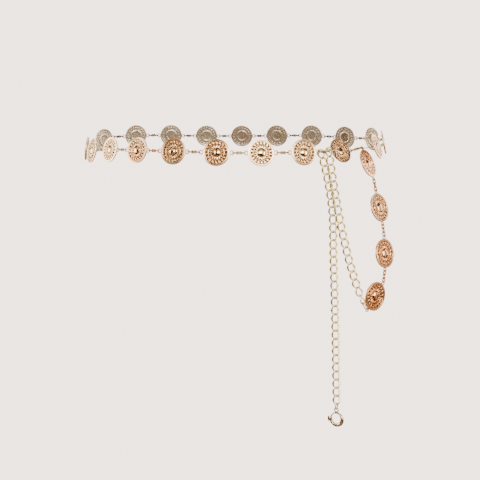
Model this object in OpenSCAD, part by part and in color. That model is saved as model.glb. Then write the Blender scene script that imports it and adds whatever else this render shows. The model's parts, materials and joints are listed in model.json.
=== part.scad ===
// Waist chain: cast medallions joined by small oval links, with four medallions and a curb
// chain hanging from the closure. Millimetres, +Z up, the front is at -Y.
// The origin is the middle of the loop, where the waist goes.

/* [Medallions] */
// Diameter of a medallion in the belt
medallion_d = 25; // [22:0.5:30]
// Diameter of a medallion in the hanging part
drop_medallion_d = 28; // [24:0.5:32]
// Thickness of the flat plate
plate_t = 1.1; // [0.9:0.1:1.8]
// Height of the cast rings, beads and leaves above the plate
relief_h = 0.5; // [0.3:0.05:0.8]
// Height of the smooth dome above the plate
dome_h = 1.1; // [0.6:0.1:2]
// Beads in the ring round the dome
bead_count = 17; // [12:1:20]
// Slanted leaves in the wreath
leaf_count = 18; // [12:1:22]
// Angle of a leaf from the radius
leaf_slant = 38; // [0:1:60]

/* [Eyes] */
// Wire of the soldered eyes
eye_wire = 1; // [0.8:0.05:1.2]
// Hole of the soldered eyes
eye_hole = 2.6; // [2.4:0.1:3.4]
// How far an eye's wire is sunk into the rim for the solder
eye_solder = 0.6; // [0.3:0.1:0.8]

/* [Small links] */
// Wire of the small links
link_wire = 0.9; // [0.7:0.05:1]
// Length of the opening of a small link
link_opening = 3.8; // [3.5:0.1:6]
// Width of the opening of a small link
link_opening_w = 1.7; // [1.6:0.1:2.4]
// Gap between two pieces that pull on each other
contact_gap = 0.15; // [0.1:0.05:0.3]

/* [Curb chain] */
// Length of a curb link over its wire
curb_l = 10.55; // [9.5:0.05:13]
// Width of a curb link over its wire
curb_w = 7.8; // [7:0.1:9]
// Wire of the curb links
curb_wire = 1.2; // [0.9:0.05:1.3]
// Twist of each end of a curb link
curb_twist = 37; // [30:1:42]
// Gap between the wires of two curb links
curb_gap = 0.25; // [0.2:0.05:0.4]
// Curb links in the end that hangs free
tail_links = 31; // [8:1:40]

/* [Lower link] */
// Wire of the link between the lowest medallion and the curb chain
lower_wire = 1; // [0.8:0.05:1.1]
// Length of its opening
lower_opening = 6.8; // [6.5:0.1:7.5]
// Width of its opening
lower_opening_w = 2.9; // [2.6:0.1:3.4]

/* [Hook] */
// Wire of the S-hook
hook_wire = 0.9; // [0.7:0.05:1]
// Gap between the hook's bend and the eye that it holds
hook_gap = 0.15; // [0.1:0.05:0.3]
// Width inside each bend
hook_hole = 1.7; // [1.6:0.1:2]
// Arc of each bend
hook_arc = 205; // [190:5:220]

/* [Spring ring] */
// Outer diameter of the spring ring
ring_d = 15; // [13:0.5:20]
// Diameter of its tube
tube_d = 3; // [2.6:0.1:3.4]
// Diameter of the thin end that the bolt closes on
neck_d = 1.8; // [1.6:0.1:2.2]
// Wire of the bolt
bolt_wire = 1.2; // [0.9:0.1:1.4]
// Clearance round the bolt in the tube
bolt_clear = 0.2; // [0.15:0.05:0.3]
// How far the bolt turns back when it is drawn open
bolt_travel = 45; // [20:1:50]
// Thickness of the thumb tab
tab_t = 1; // [0.8:0.1:1.4]
// How far the thumb tab stands out from the tube
tab_h = 1.8; // [1.2:0.1:2.5]
// Hole of the eye that it hangs by
ring_eye_hole = 2.8; // [2.6:0.1:3.6]
// Turn of the spring ring about its hanging line
ring_turn = -34; // [-60:1:60]

/* [Clasp link] */
// Wire of the link that carries the spring ring
clasp_wire = 1.1; // [0.9:0.05:1.3]
// Length of its opening
clasp_opening = 4.8; // [4.4:0.1:7]
// Width of its opening
clasp_opening_w = 2.6; // [2.4:0.1:3.2]

/* [Hidden] */
belt_count = 20;
drop_count = 4;
function medallion_name(i) = str("medallion_", i < 9 ? "0" : "", i + 1);

// The belt's route from the first hanging medallion round the waist to the hook:
// x, y, z and how far the tops of the medallions lean in towards the waist, in degrees.
belt_route = [
    [127, -67, -9, 18], [116, -67, -12, 22], [92, -88, -14, 20], [82, -91, -15, 12],
    [53, -101, -16, 6], [13, -111, -17, 5], [-29, -108, -16, 5], [-66, -95, -14, 6],
    [-106, -67, -11, 8], [-136, -33, -9, 9], [-156, 2, -8, 8], [-161, 32, -2, 8],
    [-147, 59, 10, 12], [-112, 81, 15, 16], [-30, 97, 16, 18], [33, 96, 16, 19],
    [93, 80, 15, 18], [129, 60, 11, 14], [155, 28, 7, 10], [161, -15, 1, 12],
    [150, -40, -6, 18], [138, -67, -9, 20]];

// The hanging medallions' route, from the middle of their top eye: x, y, z and how far
// their fronts are turned to the right, in degrees.
drop_route = [
    [0, 0, 0, 57], [11, -3, -30, 55], [13, -6, -44, 48], [19, -10, -75, 46],
    [20, -13, -88, 44], [20, -17, -119, 42], [18, -20, -130, 44], [1, -31, -153, 44]];

// The free end of the curb chain, from where it leaves the belt: x, y, z.
tail_route = [
    [0, 0, 0], [5, 0, -16], [8, 0, -30], [12, 0, -56], [13.5, 0, -100], [15.5, 0, -160], [18, 0, -270]];

// The smallest difference that a face is moved by so that two solids really overlap.
lap = 0.05;

// Vectors and hyperbolic functions
function unit(v) = v / norm(v);
function xyz(p) = [p[0], p[1], p[2]];
function square_to(v, n) = unit(v - (v * n) * n);
function sinh(x) = (exp(x) - exp(-x)) / 2;
function cosh(x) = (exp(x) + exp(-x)) / 2;
function asinh(x) = ln(x + sqrt(x * x + 1));
function atanh(x) = ln((1 + x) / (1 - x)) / 2;
function sum(v, i = 0) = i == len(v) ? 0 : v[i] + sum(v, i + 1);

// A smooth curve through the rows of a route. Its parameter is the length along the
// straight lines between the rows, in millimetres.
function knots(P, i = 0, t = 0) = i == len(P) - 1 ? [t]
    : concat([t], knots(P, i + 1, t + norm(xyz(P[i + 1]) - xyz(P[i]))));
function slope(P, K, i) = (P[i + 1] - P[i]) / (K[i + 1] - K[i]);
function tangent(P, K, i) =
    i == 0 ? slope(P, K, 0)
    : i == len(P) - 1 ? slope(P, K, i - 1)
    : (slope(P, K, i - 1) * (K[i + 1] - K[i]) + slope(P, K, i) * (K[i] - K[i - 1]))
        / (K[i + 1] - K[i - 1]);
function curve_at(P, K, u) =
    let (i = max([0, for (k = [1 : len(K) - 2]) if (K[k] <= u) k]),
        h = K[i + 1] - K[i],
        f = (u - K[i]) / h)
    P[i] * (1 + 2 * f) * pow(1 - f, 2) + tangent(P, K, i) * h * f * pow(1 - f, 2)
    + P[i + 1] * f * f * (3 - 2 * f) + tangent(P, K, i + 1) * h * f * f * (f - 1);

// Steps of given straight lengths along a curve, as the parameter of each joint
function step_end(P, K, from, d, lo, hi, tries) =
    let (mid = (lo + hi) / 2)
    tries == 0 ? mid
    : norm(xyz(curve_at(P, K, mid)) - from) < d ? step_end(P, K, from, d, mid, hi, tries - 1)
    : step_end(P, K, from, d, lo, mid, tries - 1);
function walk(P, K, steps, i = 0, u = 0) = i == len(steps) ? [u]
    : concat([u], walk(P, K, steps, i + 1,
        step_end(P, K, xyz(curve_at(P, K, u)), steps[i], u, u + 1.5 * steps[i], 26)));

// A frame is [middle, x axis, y axis, z axis].
module place(f) {
    multmatrix([[f[1][0], f[2][0], f[3][0], f[0][0]],
        [f[1][1], f[2][1], f[3][1], f[0][1]],
        [f[1][2], f[2][2], f[3][2], f[0][2]]]) children();
}
function shifted(f, x) = [f[0] + x * f[1], f[1], f[2], f[3]];

// Sizes that follow from the driving ones
eye_r = (eye_hole + eye_wire) / 2;
eye_reach = eye_r + eye_wire / 2 - eye_solder;
belt_eye_x = medallion_d / 2 + eye_reach;
drop_eye_x = drop_medallion_d / 2 + eye_reach;
link_pitch = link_opening - contact_gap;
link_span = 3 * link_opening - eye_wire - 4 * contact_gap;
belt_medallion_span = 2 * (belt_eye_x + eye_r);
curb_pitch = curb_l - 2 * curb_wire - curb_gap;
curb_tip = (curb_l - curb_wire) / 2;
curb_tip_in = curb_tip - curb_pitch / 2;

// The belt: joints along its route, which grows with the length of the chain
belt_steps = [link_span, for (i = [1 : belt_count]) each [belt_medallion_span, link_span]];
belt_length = sum(belt_steps) - link_span;
belt_knots_chosen = knots(belt_route);
belt_scale = belt_length / belt_knots_chosen[len(belt_route) - 1];
belt_rows = [for (p = belt_route) [p[0] * belt_scale, p[1] * belt_scale, p[2] * belt_scale, p[3]]];
belt_knots = knots(belt_rows);
belt_u = walk(belt_rows, belt_knots, belt_steps);
function belt_joint(k) = xyz(curve_at(belt_rows, belt_knots, belt_u[k]));
function belt_frame(i) =
    let (a = belt_joint(2 * i + 1),
        b = belt_joint(2 * i + 2),
        t = unit(b - a),
        up = square_to([0, 0, 1], t),
        out = cross(up, t),
        lean = curve_at(belt_rows, belt_knots, (belt_u[2 * i + 1] + belt_u[2 * i + 2]) / 2)[3])
    [(a + b) / 2, -t, up * cos(lean) - out * sin(lean), out * cos(lean) + up * sin(lean)];

// The hanging part: its route starts at the top eye of the first hanging medallion
drop_steps = [drop_eye_x * 2 + eye_r, for (i = [2 : drop_count]) each
    [link_span, i < drop_count ? 2 * (drop_eye_x + eye_r) : 2 * drop_eye_x + eye_r]];
drop_knots_chosen = knots(drop_route);
drop_scale = sum(drop_steps) / drop_knots_chosen[len(drop_route) - 1];
drop_rows = [for (p = drop_route) [p[0] * drop_scale, p[1] * drop_scale, p[2] * drop_scale, p[3]]];
drop_knots = knots(drop_rows);
drop_u = walk(drop_rows, drop_knots, drop_steps);
function drop_point(k) = xyz(curve_at(drop_rows, drop_knots, drop_u[k]));
function drop_axes(i) =
    let (t = unit(drop_point(2 * i + 1) - drop_point(2 * i)),
        turn = curve_at(drop_rows, drop_knots, (drop_u[2 * i] + drop_u[2 * i + 1]) / 2)[3],
        n = square_to([sin(turn), -cos(turn), 0], t))
    [-t, cross(n, -t), n];

// The first hanging medallion's top eye holds the belt's first link on one side and the
// hook on the other, each this far round from its top.
top_link_side = 63;
top_hook_side = -105;
function round_eye(axes, side) = cos(side) * axes[0] + sin(side) * axes[1];
drop_start = belt_joint(0) - eye_r * round_eye(drop_axes(0), top_link_side);
function drop_frame(i) =
    let (axes = drop_axes(i),
        from = drop_start + drop_point(2 * i),
        in = i == 0 ? drop_eye_x : drop_eye_x + eye_r)
    [from - in * axes[0], axes[0], axes[1], axes[2]];
function medallion_frame(i) = i < belt_count ? belt_frame(i) : drop_frame(i - belt_count);

// A gap's three small links, between joints a and b whose wires run along wire_a and wire_b
function gap_links(a, b, wire_a, wire_b) =
    let (x = unit(b - a),
        na = square_to(wire_a, x),
        nb_signed = square_to(wire_b, x),
        nb = nb_signed * na < 0 ? -nb_signed : nb_signed,
        nm = cross(x, unit(na + nb)),
        mid = (a + b) / 2)
    [[mid - link_pitch * x, x, cross(na, x), na],
        [mid, x, cross(nm, x), nm],
        [mid + link_pitch * x, x, cross(nb, x), nb]];
// Where an eye is held by a pull towards a point, and the run of its wire there
function eye_mid(i, end) = shifted(medallion_frame(i), end * (i < belt_count ? belt_eye_x : drop_eye_x))[0];
function eye_hold(i, end, towards) =
    let (mid = eye_mid(i, end), n = medallion_frame(i)[3], out = square_to(towards - mid, n))
    [mid + eye_r * out, cross(n, out)];
function eye_gap(i, j) =
    let (a = eye_hold(i, -1, eye_mid(j, 1)), b = eye_hold(j, 1, eye_mid(i, -1)))
    gap_links(a[0], b[0], a[1], b[1]);
function first_gap() =
    let (b = eye_hold(0, 1, belt_joint(0)))
    gap_links(belt_joint(0), b[0],
        cos(top_link_side) * drop_axes(0)[1] - sin(top_link_side) * drop_axes(0)[0], b[1]);
function belt_gap(i) = i == 0 ? first_gap() : eye_gap(i - 1, i);
function drop_gap(i) = eye_gap(belt_count + i - 1, belt_count + i);

// The curb chain's top link lies on the links between the first two belt medallions. It is
// turned from their line, tipped to the side, and moved a little along itself.
top_link_turn = 54;
top_link_tip = 7;
top_link_rise = 0.98;
top_link_shift = 0.15;
hang_drop = 0.68;
hang_rise = curb_wire + curb_gap + hang_drop;
bridge = belt_gap(1)[1];
bridge_up = square_to([0, 0, 1], bridge[1]);
top_n = bridge_up * cos(top_link_tip) - cross(bridge_up, bridge[1]) * sin(top_link_tip);
top_x = -bridge[1] * cos(top_link_turn) + cross(top_n, bridge[1]) * sin(top_link_turn);
top_mid = bridge[0] + top_link_rise * top_n + top_link_shift * top_x;
function hang_start(side) = top_mid + side * curb_tip * top_x
    + [0, 0, hang_rise - curb_tip_in];

// The link at the lowest medallion's lower eye: where round the eye it holds, how far it
// sags below and swings beside the line to the top link, and how far it is rolled.
lower_side = 100;
lower_sag = 18;
lower_swing = 9;
lower_roll = -4;
lower_gap = 2 * contact_gap;
lowest = drop_frame(drop_count - 1);
lower_eye = eye_mid(belt_count + drop_count - 1, -1);
lower_line = unit(hang_start(1) - lower_eye);
lower_down = square_to([0, 0, -1], lower_line);
lower_x = unit(lower_line + tan(lower_sag) * lower_down
    + tan(lower_swing) * cross(lower_line, lower_down));
lower_out = sin(lower_side) * lowest[2] - cos(lower_side) * lowest[1];
lower_flat = square_to(cross(lowest[3], lower_out), lower_x);
lower_n = lower_flat * cos(lower_roll) + cross(lower_x, lower_flat) * sin(lower_roll);
lower_hold = lower_eye + eye_r * lower_out;
lower_frame = [lower_hold + (lower_opening / 2 - eye_wire / 2 - lower_gap) * lower_x,
    lower_x, cross(lower_n, lower_x), lower_n];
lower_tip = lower_hold + (lower_opening - (eye_wire + curb_wire) / 2 - 2 * lower_gap) * lower_x;

// The stretch between the top link and the lower link hangs as a catenary whose length is
// a whole number of links.
slack = 1.0005;
swag_end = lower_tip + curb_tip_in * unit(hang_start(1) - lower_tip);
swag_run = hang_start(1) - swag_end;
swag_h = norm([swag_run[0], swag_run[1]]);
swag_v = swag_run[2];
swag_count = ceil(norm(swag_run) * slack / curb_pitch);
swag_len = swag_count * curb_pitch;
function catenary_u(ratio, lo, hi, tries) =
    let (mid = (lo + hi) / 2)
    tries == 0 ? mid
    : sinh(mid) / mid < ratio ? catenary_u(ratio, mid, hi, tries - 1)
    : catenary_u(ratio, lo, mid, tries - 1);
swag_c = swag_h / 2 / catenary_u(sqrt(swag_len * swag_len - swag_v * swag_v) / swag_h, 0.001, 8, 40);
swag_mid = swag_c * atanh(swag_v / swag_len);
swag_low = swag_mid - swag_h / 2;
swag_out = unit([swag_run[0], swag_run[1], 0]);
function swag_point(s) =
    let (x = swag_c * asinh(sinh(swag_low / swag_c) + s / swag_c))
    swag_end + (x - swag_low) * swag_out
    + swag_c * (cosh(x / swag_c) - cosh(swag_low / swag_c)) * [0, 0, 1];

// The free end follows its own route down from the top link.
tail_knots = knots(tail_route);
tail_steps = [for (i = [1 : tail_links]) curb_pitch];
tail_u = walk(tail_route, tail_knots, tail_steps);
function tail_point(k) = hang_start(-1) + curve_at(tail_route, tail_knots, tail_u[k]);

// A curb link from joint a to joint b whose flat side faces the direction azimuth
function curb_frame(a, b, azimuth) =
    let (x = unit(b - a),
        n = square_to([cos(azimuth), sin(azimuth), 0], x))
    [(a + b) / 2, x, cross(n, x), n];
// The first links below the top one turn step by step to face the front.
hang_roll = 95;
top_azimuth = atan2(top_x[1], top_x[0]);
hang_roll_step = 45;
function link_azimuth(k) = min(90, top_azimuth + hang_roll + hang_roll_step * k);
// The last links above the lower link turn on, edge to the front.
lower_turn = 62;
lower_turn_step = 36;
function lower_azimuth(k) = max(0, lower_turn - lower_turn_step * (swag_count - 1 - k));
swag_frames = [for (k = [0 : swag_count - 1])
    curb_frame(swag_point((swag_count - k) * curb_pitch), swag_point((swag_count - k - 1) * curb_pitch),
        link_azimuth(k) + lower_azimuth(k))];
tail_frames = [for (k = [0 : tail_links - 1])
    curb_frame(tail_point(k), tail_point(k + 1), link_azimuth(k))];
curb_frames = concat([[top_mid, top_x, cross(top_n, top_x), top_n]], swag_frames, tail_frames);

// The clasp hangs straight down from the last curb link.
tail_hold = shifted(tail_frames[tail_links - 1], curb_tip)[0];
clasp_eye_r = (ring_eye_hole + clasp_wire) / 2;
clasp_mid = tail_hold - (clasp_opening / 2 - curb_wire / 2 - contact_gap) * [0, 0, 1];
clasp_azimuth = -36;
clasp_frame = [clasp_mid, [0, 0, -1],
    cross([cos(clasp_azimuth), sin(clasp_azimuth), 0], [0, 0, -1]),
    [cos(clasp_azimuth), sin(clasp_azimuth), 0]];
ring_r = (ring_d - tube_d) / 2;
ring_eye_y = ring_r + neck_d / 2 + clasp_eye_r + clasp_wire / 2 - eye_solder;
ring_mid = clasp_mid - (clasp_opening / 2 - clasp_wire / 2 - contact_gap
    + clasp_eye_r + ring_eye_y) * [0, 0, 1];
ring_frame = [ring_mid, [cos(ring_turn), sin(ring_turn), 0], [0, 0, 1],
    [sin(ring_turn), -cos(ring_turn), 0]];

// The hook runs between the belt's last eye and the first hanging medallion's top eye.
last = belt_frame(belt_count - 1);
last_hook_side = 26;
hook_a = eye_mid(belt_count - 1, -1)
    + eye_r * (sin(last_hook_side) * last[2] - cos(last_hook_side) * last[1]);
hook_b = drop_start + eye_r * round_eye(drop_axes(0), top_hook_side);
hook_x = unit(hook_b - hook_a);
wire_a = sin(last_hook_side) * last[1] + cos(last_hook_side) * last[2];
wire_b = cos(top_hook_side) * drop_axes(0)[1] - sin(top_hook_side) * drop_axes(0)[0];
hook_n = square_to(wire_a + wire_b, hook_x);
hook_frame = [(hook_a + hook_b) / 2, hook_x, cross(hook_n, hook_x), hook_n];
hook_r = (hook_hole + hook_wire) / 2;
hook_half = norm(hook_b - hook_a) / 2 - (hook_hole - eye_wire) / 2 + hook_gap;

// Round wire bent to an arc from one angle to another, in the xy plane
module wire_arc(r, d, from, to) {
    rotate([0, 0, from]) rotate_extrude(angle = to - from, $fn = 64)
        translate([r, 0]) circle(d = d, $fn = 32);
}

module wire_ring(r, d) {
    rotate_extrude($fn = 64) translate([r, 0]) circle(d = d, $fn = 32);
}

// An oval link in the xy plane, its length along x
module oval_link(opening, opening_w, wire) {
    r = (opening_w + wire) / 2;
    side = opening - opening_w;
    for (end = [0, 1]) rotate([0, 0, 180 * end]) {
        translate([side / 2, 0, 0]) wire_arc(r, wire, -90, 90);
        translate([0, r, 0]) rotate([0, 90, 0]) cylinder(d = wire, h = side, center = true, $fn = 32);
    }
}

// Half section of a medallion: share of the radius, and height over the plate's two
// faces as a share of the relief, front and back.
relief_rows = [
    [0.38, -0.5, -0.4], [0.41, -0.5, 0.3], [0.52, -0.5, 0.3], [0.55, 0.6, 0], [0.59, 1, 0], [0.63, 0.6, 0],
    [0.65, -0.4, -0.4], [0.83, -0.4, -0.4], [0.85, 0.5, 0.2], [0.88, 0.7, 0.2], [0.9, 0.1, 0.1],
    [0.92, 0.1, 0.1], [0.94, 0.6, 0.2], [0.98, 0.6, 0.2], [1, 0.1, -0.2]];
bead_ring = 0.465;
bead_r = 0.062;
leaf_ring = 0.74;
leaf_l = 0.19;
leaf_w = 0.055;
dome_share = 0.34;

module medallion(d, eye_x) {
    r = d / 2;
    front = [for (p = relief_rows) [p[0] * r, plate_t / 2 + p[1] * relief_h]];
    back = [for (i = [len(relief_rows) - 1 : -1 : 0]) let (p = relief_rows[i])
        [p[0] * r, -plate_t / 2 - p[2] * relief_h]];
    floor_z = front[0][1];
    rise = plate_t / 2 + dome_h - floor_z;
    dome_r = (pow(dome_share * r, 2) + rise * rise) / 2 / rise;
    rotate_extrude($fn = 96) polygon(concat([[0, floor_z]], front, back,
        [[0, back[len(back) - 1][1]]]));
    intersection() {
        translate([0, 0, plate_t / 2 + dome_h - dome_r]) sphere(r = dome_r, $fn = 96);
        cylinder(r = dome_share * r, h = plate_t + dome_h, $fn = 96);
    }
    for (i = [0 : bead_count - 1]) rotate([0, 0, i * 360 / bead_count])
        translate([bead_ring * r, 0, floor_z + 2 * lap]) sphere(r = bead_r * r, $fn = 24);
    for (i = [0 : leaf_count - 1]) rotate([0, 0, i * 360 / leaf_count])
        translate([leaf_ring * r, 0, relief_h / 2]) rotate([0, 0, leaf_slant])
        cube([leaf_l * r, leaf_w * 2 * r, plate_t], center = true);
    for (end = [-1, 1]) translate([end * eye_x, 0, 0]) wire_ring(eye_r, eye_wire);
}

// One curb link: an oval of round wire whose ends are twisted against each other
curb_rings = 16;
curb_sides = 6;
function curb_point(phi) =
    let (half_w = (curb_w - curb_wire) / 2,
        twist = curb_twist * cos(phi))
    [curb_tip * cos(phi), half_w * sin(phi) * cos(twist), half_w * sin(phi) * sin(twist)];
function curb_ring(i) =
    let (phi = i * 360 / curb_rings,
        p = curb_point(phi),
        t = unit(curb_point(phi + 1) - curb_point(phi - 1)),
        out = square_to(p, t),
        side = cross(t, out))
    [for (k = [0 : curb_sides - 1]) let (a = k * 360 / curb_sides)
        p + curb_wire / 2 * (cos(a) * out + sin(a) * side)];
curb_points = [for (i = [0 : curb_rings - 1]) each curb_ring(i)];
curb_faces = [for (i = [0 : curb_rings - 1], k = [0 : curb_sides - 1])
    let (j = (i + 1) % curb_rings, m = (k + 1) % curb_sides)
    each [[i * curb_sides + k, j * curb_sides + k, j * curb_sides + m],
        [i * curb_sides + k, j * curb_sides + m, i * curb_sides + m]]];

module curb_link() {
    polyhedron(points = curb_points, faces = curb_faces, convexity = 4);
}

module belt_medallion(i) {
    color("burlywood") place(medallion_frame(i)) medallion(medallion_d, belt_eye_x);
}

module drop_medallion(i) {
    color("burlywood") place(medallion_frame(i)) medallion(drop_medallion_d, drop_eye_x);
}

module waist_links() {
    color("khaki") for (i = [0 : belt_count - 1]) for (f = belt_gap(i))
        place(f) oval_link(link_opening, link_opening_w, link_wire);
}

module drop_links() {
    color("khaki") for (i = [1 : drop_count - 1]) for (f = drop_gap(i))
        place(f) oval_link(link_opening, link_opening_w, link_wire);
}

module curb_chain() {
    color("darkkhaki") for (f = curb_frames) place(f) curb_link();
}

// An S of two bends round the eyes' wires and the straight line that touches both
module hook() {
    tilt = asin(hook_r / hook_half);
    color("khaki") place(hook_frame) {
        rotate([0, 0, tilt]) rotate([0, 90, 0])
            cylinder(d = hook_wire, h = 2 * hook_half * cos(tilt), center = true, $fn = 32);
        for (end = [0, 1]) rotate([0, 0, 180 * end]) translate([hook_half, 0, 0]) {
            wire_arc(hook_r, hook_wire, 90 + tilt - hook_arc, 90 + tilt);
            rotate([0, 0, 90 + tilt - hook_arc]) translate([hook_r, 0, 0])
                sphere(d = hook_wire + 2 * lap, $fn = 32);
        }
    }
}

module lower_link() {
    color("burlywood") place(lower_frame) oval_link(lower_opening, lower_opening_w, lower_wire);
}

module clasp_link() {
    color("darkkhaki") place(clasp_frame) oval_link(clasp_opening, clasp_opening_w, clasp_wire);
}

// Angles round the spring ring, from 3 o'clock and anticlockwise
tube_mouth = 170;
tube_end = 400;
neck_end = 466;
bolt_in = 214;
tab_angle = 184;
stem_half = 8;
tab_half = 17;
bore_d = bolt_wire + 2 * bolt_clear;
stem_t = tab_t - 2 * lap;
tip_gap = contact_gap / ring_r * 180 / PI;
turn_clear = bolt_clear / ring_r * 180 / PI;

// A ring sector of rectangular section between two radii and two angles
module sector(r1, r2, t, from, to) {
    rotate([0, 0, from]) rotate_extrude(angle = to - from, $fn = 64)
        translate([r1, -t / 2]) square([r2 - r1, t]);
}

module ring_body() {
    color("goldenrod") place(ring_frame) {
        difference() {
            union() {
                wire_arc(ring_r, tube_d, tube_mouth, tube_end);
                rotate([0, 0, tube_end]) translate([ring_r, 0, 0]) sphere(d = tube_d + 2 * lap, $fn = 48);
                wire_arc(ring_r, neck_d, tube_end, neck_end);
            }
            wire_arc(ring_r, bore_d, tube_mouth - 5, bolt_in + bolt_travel + 4);
            sector(ring_r, ring_r + tube_d, stem_t + 2 * bolt_clear, tube_mouth - 5,
                tab_angle + stem_half + bolt_travel + turn_clear);
        }
        translate([0, ring_eye_y, 0]) wire_ring(clasp_eye_r, clasp_wire);
    }
}

module ring_bolt() {
    tab_in = ring_d / 2 + bolt_clear;
    color("peru") place(ring_frame) {
        wire_arc(ring_r, bolt_wire, neck_end - 360 + tip_gap, bolt_in);
        sector(ring_r, tab_in + tab_h / 2, stem_t, tab_angle - stem_half, tab_angle + stem_half);
        sector(tab_in, tab_in + tab_h, tab_t, tab_angle - tab_half, tab_angle + tab_half);
    }
}

for (i = [0 : belt_count - 1]) belt_medallion(i);
for (i = [belt_count : belt_count + drop_count - 1])
    drop_medallion(i);
waist_links();
drop_links();
curb_chain();
lower_link();
hook();
clasp_link();
ring_body();
ring_bolt();
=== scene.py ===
# %% [markdown]
# # A waist chain of cast medallions
# The real thing is a chain of small cast discs, each with a soldered eye on two sides, joined by
# oval wire links. Twenty discs go round the waist, four more hang from the closure, and a long
# twisted curb chain with a spring ring hangs beside them. The CAD model says where every piece is.
# We load it first and measure it, so that nothing has to be fitted by eye later.

# %% The frame
import json
import math
import bpy
import numpy as np
from mathutils import Matrix


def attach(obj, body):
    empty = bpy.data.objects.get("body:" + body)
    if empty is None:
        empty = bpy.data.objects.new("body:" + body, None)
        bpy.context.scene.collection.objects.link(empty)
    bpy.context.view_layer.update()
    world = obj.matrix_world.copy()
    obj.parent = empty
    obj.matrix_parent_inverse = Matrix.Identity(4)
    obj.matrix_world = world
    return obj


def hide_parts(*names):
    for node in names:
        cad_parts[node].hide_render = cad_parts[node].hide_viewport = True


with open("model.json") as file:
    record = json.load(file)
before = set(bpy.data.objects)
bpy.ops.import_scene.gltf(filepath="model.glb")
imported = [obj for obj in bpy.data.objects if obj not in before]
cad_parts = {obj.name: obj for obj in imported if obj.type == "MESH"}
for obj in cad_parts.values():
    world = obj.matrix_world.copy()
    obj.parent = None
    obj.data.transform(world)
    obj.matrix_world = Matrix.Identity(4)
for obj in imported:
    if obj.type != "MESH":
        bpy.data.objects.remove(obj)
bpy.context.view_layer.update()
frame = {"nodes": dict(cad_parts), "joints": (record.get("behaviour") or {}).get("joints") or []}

MM = 0.001

# %% [markdown]
# ## Camera
# The chain was photographed from the front and a little above, so the far side of the belt shows
# over the near side. A fairly long lens keeps the near medallions from looking too large.

# %% Camera
def placed(name, data):
    """A new object of the scene with this name and data."""
    made = bpy.data.objects.new(name, data)
    bpy.context.scene.collection.objects.link(made)
    return made


camera = placed("camera", bpy.data.cameras.new("camera"))
camera.location = (0.0085, -0.809, -0.060)
camera.rotation_euler = (math.radians(87), 0, 0)
camera.data.lens = 57
camera.data.clip_start = 0.01
bpy.context.scene.camera = camera
print("camera at", tuple(round(v, 3) for v in camera.location), "lens", camera.data.lens, "mm")

# %% [markdown]
# ## Measuring the cast pieces
# A CAD node holds one piece or many loose ones, as plain triangles. We merge its equal corners,
# number the separate solids, and find each one's middle and its long, wide and thin directions
# from the moments of its surface. An eyed disc is longest through its eyes, and a link along its
# length, so these directions are the frame that a finer surface is then laid into.

# %% Solids and their axes
MERGED_PER_MM = 1000


def merged_triangles(node):
    """The node's corners in mm, with those in the same thousandth of a mm merged, and its
    triangles as rows of corner numbers."""
    mesh = frame["nodes"][node].data
    mesh.calc_loop_triangles()
    places = np.empty(len(mesh.vertices) * 3)
    mesh.vertices.foreach_get("co", places)
    corners = np.empty(len(mesh.loop_triangles) * 3, dtype=np.int64)
    mesh.loop_triangles.foreach_get("vertices", corners)
    places = places.reshape(-1, 3) / MM
    cells = np.round(places * MERGED_PER_MM).astype(np.int64)
    keys, number = np.unique(cells, axis=0, return_inverse=True)
    number = number.ravel()
    points = np.zeros((len(keys), 3))
    points[number] = places
    return points, number[corners].reshape(-1, 3)


def solid_numbers(points, triangles):
    """Each corner takes the lowest corner number that reaches it along the triangles."""
    label = np.arange(len(points))
    while True:
        lowest = label.copy()
        np.minimum.at(lowest, triangles.ravel(), np.repeat(label[triangles].min(axis=1), 3))
        lowest = lowest[lowest]
        if (lowest == label).all():
            return label
        label = lowest


def surface_frame(points, triangles):
    """Rows: middle, long, wide and thin direction. The middle is the area's centroid, and the
    directions are those of its second moments, area / 12 * (9 m m + a a + b b + c c) summed."""
    a, b, c = (points[triangles[:, k]] for k in range(3))
    area = np.linalg.norm(np.cross(b - a, c - a), axis=1) / 2
    middle = ((a + b + c) / 3 * area[:, None]).sum(axis=0) / area.sum()
    moment = sum(w * np.einsum("n,ni,nj->ij", area / 12, p - middle, p - middle)
                 for w, p in ((9, (a + b + c) / 3), (1, a), (1, b), (1, c)))
    across = np.linalg.eigh(moment)[1].T[::-1]
    return np.array([middle, across[0], across[1], np.cross(across[0], across[1])])


def solid_frames(node):
    """The frame of each loose solid of a node, as an array of n x 4 x 3."""
    points, triangles = merged_triangles(node)
    label = solid_numbers(points, triangles)[triangles[:, 0]]
    return np.array([surface_frame(points, triangles[label == n]) for n in np.unique(label)])


link_frames = {name: solid_frames(name) for name in
               ("waist_links", "drop_links", "curb_chain", "lower_link", "clasp_link")}
print("loose links:", {name: len(frames) for name, frames in link_frames.items()})

# %% [markdown]
# ## From numbers to meshes
# Every new piece is one or more grids of points. Small helpers stack coordinates into points, join a
# grid's neighbours into quads, close its ends with fans of triangles and lay one shape into many
# places. The last one puts points, faces, a UV map and the marks for wear, wash and painted shade into
# a mesh with `foreach_set`, which is far quicker than adding corners one by one.

# %% Mesh helpers
def stacked(*parts):
    """Arrays that fit together, as the coordinates of one array of points."""
    return np.stack(np.broadcast_arrays(*parts), axis=-1)


def angles(count):
    """Equal steps round a full turn."""
    return np.arange(count) / count * 2 * np.pi


def unit(ways):
    """The same directions with length 1."""
    return ways / np.linalg.norm(ways, axis=-1, keepdims=True)


def grid_quads(rows, columns, ring=False):
    """Quads between neighbours of a grid whose columns close on themselves, and its rows too if ring."""
    r = np.arange(rows if ring else rows - 1)[:, None]
    c = np.arange(columns)[None, :]
    below, beside = (r + 1) % rows, (c + 1) % columns
    return stacked(r * columns + c, r * columns + beside, below * columns + beside,
                   below * columns + c).reshape(-1, 4)


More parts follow.
